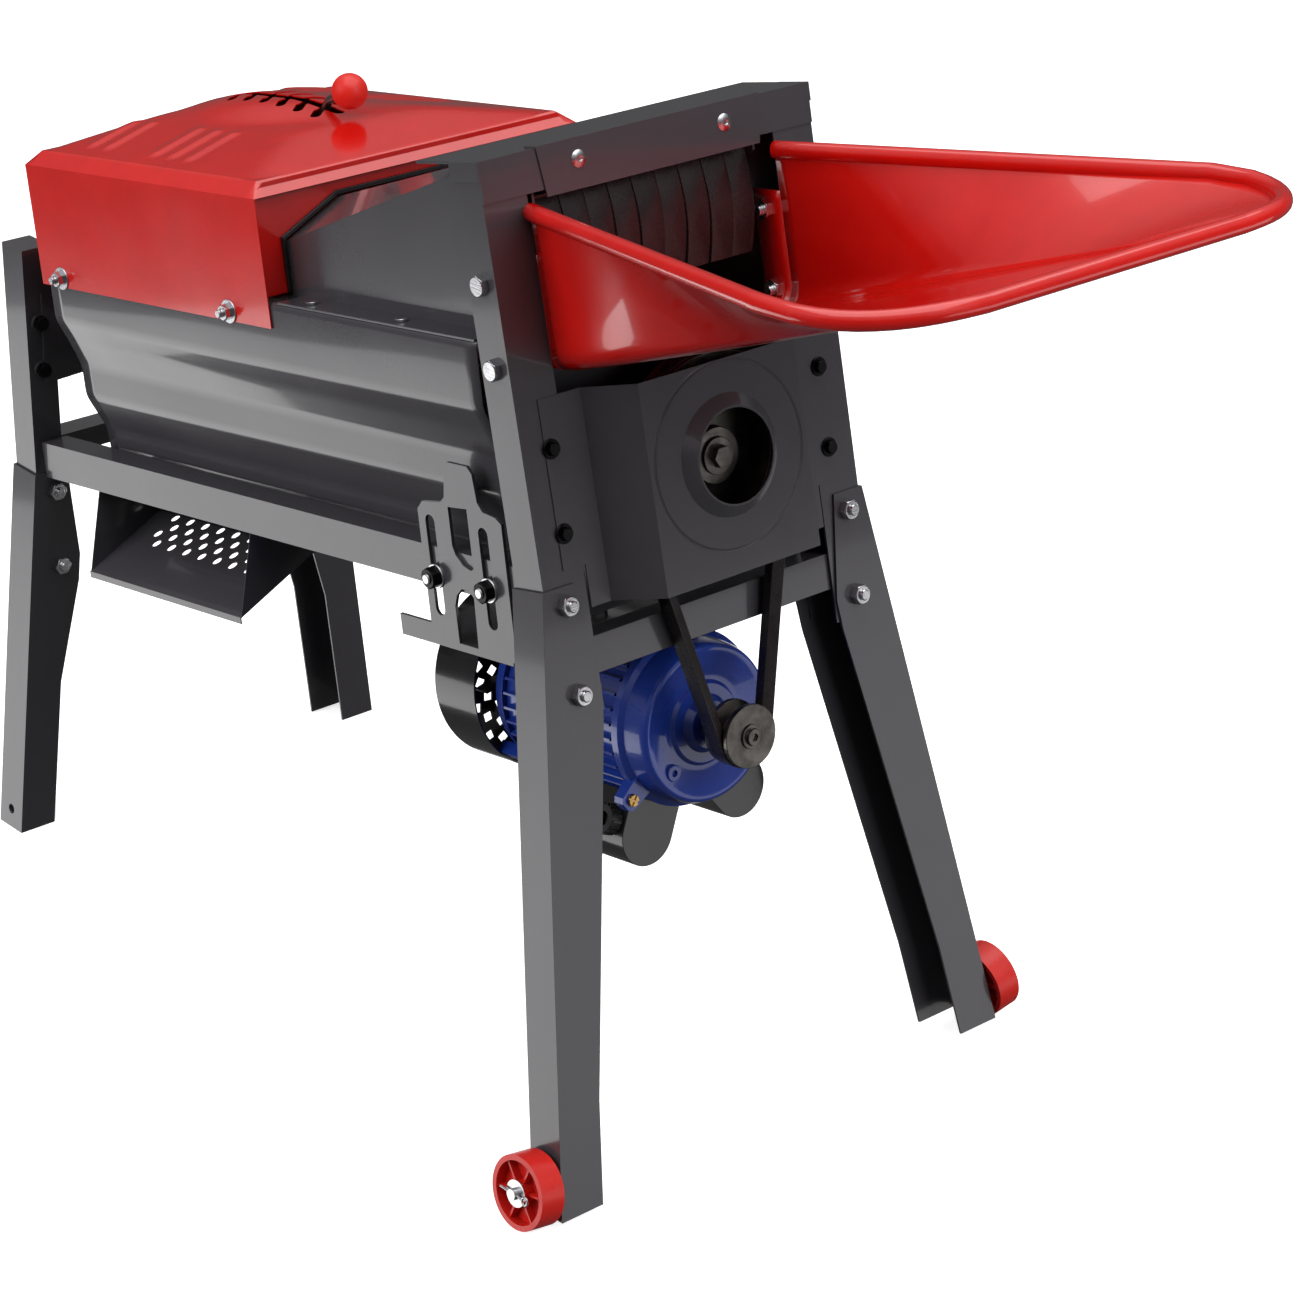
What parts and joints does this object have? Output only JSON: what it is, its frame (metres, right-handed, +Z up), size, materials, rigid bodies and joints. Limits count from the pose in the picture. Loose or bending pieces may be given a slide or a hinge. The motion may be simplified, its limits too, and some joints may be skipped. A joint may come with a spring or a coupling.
{
  "type": "electric corn thresher",
  "caption": "Electric corn thresher: feed hopper, spiked drum in a trough under a hood with outlet lever, belt-driven motor, four legs, transport wheels.",
  "frame": {"origin": "on the ground, under the middle of the machine's outline", "axes": "+X towards the feed hopper, +Z up, +Y the side away from the grain chute's mouth"},
  "size_m": [1.2883, 0.5796, 0.8918],
  "materials": {
    "red_paint": "glossy stove enamel",
    "grey_paint": "semi-gloss dark grey powder coat",
    "black_paint": "glossy black enamel",
    "blue_paint": "glossy enamel on castings",
    "zinc": "bright zinc plating",
    "black_steel": "black oxide",
    "bare_steel": "machined",
    "cast_iron": "turned, slightly oiled",
    "rubber": "satin",
    "black_plastic": "satin moulded",
    "red_plastic": "moulded, gloss",
    "copper": "enamelled wire"
  },
  "bodies": {
    "body": {"post_front_near": "grey_paint", "post_front_far": "grey_paint", "post_rear_near": "grey_paint", "post_rear_far": "grey_paint", "leg_front_near": "grey_paint", "leg_front_far": "grey_paint", "leg_rear_near": "grey_paint", "leg_rear_far": "grey_paint", "leg_bolts": "zinc", "rail_near": "grey_paint", "rail_far": "grey_paint", "crossbars": "grey_paint", "cap_beam": "grey_paint", "throat_flap": "grey_paint", "flap_rivets": "zinc", "feed_curtain": "rubber", "trough_near": "grey_paint", "trough_far": "grey_paint", "concave": "grey_paint", "end_plate_front": "grey_paint", "end_plate_rear": "grey_paint", "rear_gussets": "grey_paint", "bearings": "cast_iron", "bearing_screws": "zinc", "v_belt": "rubber", "shroud": "grey_paint", "shroud_trim": "rubber", "shroud_screws": "zinc", "hood": "red_paint", "hood_studs": "zinc", "lever_bearings": "grey_paint", "hopper": "red_paint", "hopper_bolts": "zinc", "belt_cover": "grey_paint", "black_screws": "black_steel", "grain_chute": "grey_paint", "motor_bracket": "grey_paint", "bracket_bolts": "zinc", "seat_bolts": "zinc", "motor_frame": "blue_paint", "motor_bell_front": "blue_paint", "motor_bell_rear": "blue_paint", "bell_screws": "copper", "fan_cowl": "black_paint", "stator": "bare_steel", "capacitor_covers": "black_paint", "cable_gland": "black_plastic", "wheel_fittings": "zinc"},
    "drum": {"drum_shaft": "bare_steel", "drum_body": "bare_steel", "drum_teeth": "bare_steel", "drum_pulley": "cast_iron"},
    "rotor": {"motor_rotor": "bare_steel", "cooling_fan": "black_plastic", "motor_pulley": "cast_iron"},
    "lever": {"lever_rod": "bare_steel", "lever_knob": "red_plastic", "outlet_flap": "bare_steel"},
    "wheel_near": {"wheel_near": "red_plastic"},
    "wheel_far": {"wheel_far": "red_plastic"}
  },
  "joints": [
    {"name": "drum_spin", "type": "hinge", "parent": "body", "child": "drum", "pos_m": [-0.19164, 0, 0.54113], "axis": [0.9888, 0, 0.1495], "continuous": true},
    {"name": "motor_spin", "type": "hinge", "parent": "body", "child": "rotor", "pos_m": [0.08304, 0.007, 0.32983], "axis": [0.9888, 0, 0.1495], "continuous": true},
    {"name": "lever_swing", "type": "hinge", "parent": "body", "child": "lever", "pos_m": [-0.39744, 0, 0.66475], "axis": [0, 1, 0], "range_deg": [-70, 0]},
    {"name": "wheel_near_spin", "type": "hinge", "parent": "body", "child": "wheel_near", "pos_m": [0.28208, -0.2703, 0.03445], "axis": [0, 0.9882, -0.153], "continuous": true},
    {"name": "wheel_far_spin", "type": "hinge", "parent": "body", "child": "wheel_far", "pos_m": [0.28208, 0.2703, 0.03445], "axis": [0, 0.9882, 0.153], "continuous": true}
  ],
  "couplings": [
    {"joint": "motor_spin", "follows": "drum_spin", "ratio": 3.5}
  ]
}
